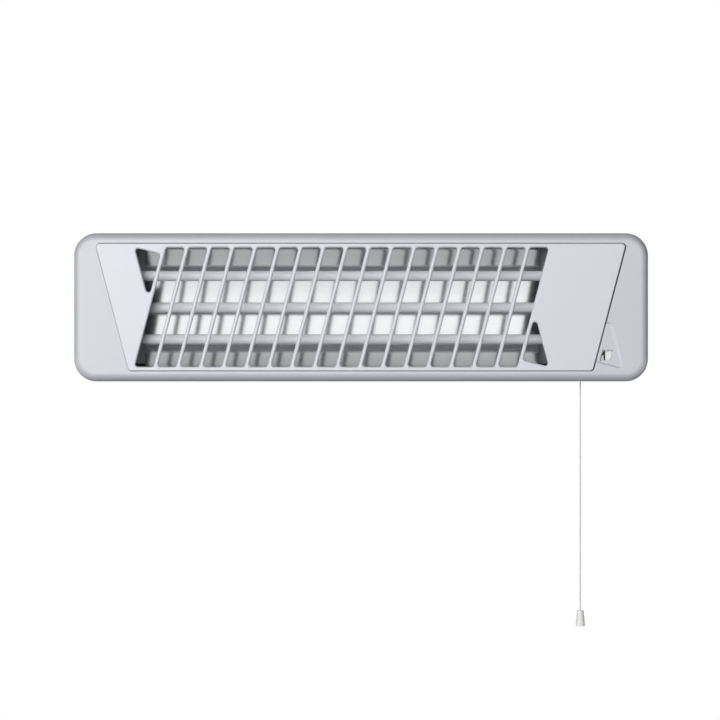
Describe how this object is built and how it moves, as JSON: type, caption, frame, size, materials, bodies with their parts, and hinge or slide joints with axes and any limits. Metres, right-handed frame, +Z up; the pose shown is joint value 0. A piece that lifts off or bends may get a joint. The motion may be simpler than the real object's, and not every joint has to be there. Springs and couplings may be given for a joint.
{
  "type": "quartz infrared heater",
  "caption": "Slim wall-mounted quartz infrared heater with a slanted-bar grille, polished reflector, tilting wall bracket and pull-cord switch.",
  "frame": {"origin": "centre of the wall bracket's four screw holes, on the face that lies against the wall", "axes": "+X along the heater to the right as seen from the front, +Y into the wall, +Z up; the grille faces -Y"},
  "size_m": [0.6, 0.12, 0.4127],
  "materials": {
    "silver_lacquer": "silver metallic lacquer, satin",
    "zinc": "zinc-plated sheet",
    "steel": "bright zinc-plated",
    "polished_aluminium": "mirror polished",
    "milky_quartz": "milky satin",
    "coil_wire": "oxidised resistance wire",
    "ceramic": "unglazed steatite",
    "white_plastic": "satin",
    "dark_plastic": "satin",
    "black_print": "printed ink",
    "lens": "clear",
    "brass": "plain",
    "lead_sleeve": "glass-fibre sleeving",
    "white_cord": "braided polyester",
    "bell_plastic": "off-white, slightly translucent"
  },
  "bodies": {
    "wall_side": {"wall_bracket": "zinc", "pivot_bolts": "steel", "pivot_washers": "steel", "pivot_nuts": "steel"},
    "heater": {"swivel_yoke": "zinc", "yoke_screws": "steel", "front_frame": "silver_lacquer", "grille_panel": "silver_lacquer", "rear_housing": "silver_lacquer", "case_screws": "steel", "indicator_lens": "lens", "switch_body": "dark_plastic", "switch_terminals": "brass", "reflector": "polished_aluminium", "reflector_stays": "zinc", "tube_carriers": "zinc", "quartz_tube_top": "milky_quartz", "quartz_tube_middle": "milky_quartz", "quartz_tube_bottom": "milky_quartz", "heating_coils": "coil_wire", "ceramic_caps": "ceramic", "cap_clips": "steel", "tube_studs": "steel", "stud_nuts": "steel", "link_strip": "brass", "tube_leads": "lead_sleeve", "common_lead": "lead_sleeve", "supply_leads": "lead_sleeve", "terminal_block": "white_plastic", "cable_gland": "dark_plastic", "gland_locknut": "dark_plastic", "cord_bush": "white_plastic"},
    "indicator": {"indicator_disc": "white_plastic", "indicator_digits": "black_print", "switch_spindle": "steel"},
    "lever": {"switch_lever": "dark_plastic"},
    "cord_upper": {"inner_cord": "white_cord", "cord_stop": "steel"},
    "cord_lower": {"pull_cord": "white_cord", "cord_bell": "bell_plastic", "cord_knot": "white_cord"}
  },
  "joints": [
    {"name": "tilt", "type": "hinge", "parent": "wall_side", "child": "heater", "pos_m": [0, -0.038, 0], "axis": [1, 0, 0], "range_deg": [0, 40]},
    {"name": "cord_pull", "type": "slide", "parent": "heater", "child": "cord_upper", "axis": [0, 0, -1], "range_m": [0, 0.012], "stiffness_N_per_m": 400, "springref_m": -0.004},
    {"name": "cord_swing", "type": "hinge", "parent": "cord_upper", "child": "cord_lower", "pos_m": [0.231, -0.094, -0.0783], "axis": [1, 0, 0], "range_deg": [-40, 0]},
    {"name": "lever_swing", "type": "hinge", "parent": "heater", "child": "lever", "pos_m": [0.25868, -0.094, -0.022], "axis": [0, 1, 0], "range_deg": [-24.6, 0]},
    {"name": "indicator_turn", "type": "hinge", "parent": "heater", "child": "indicator", "pos_m": [0.25868, -0.094, -0.022], "axis": [0, 1, 0], "continuous": true}
  ],
  "couplings": [
    {"joint": "cord_swing", "follows": "tilt", "ratio": -1},
    {"joint": "lever_swing", "follows": "cord_pull", "rad_per_m": -35.714}
  ]
}
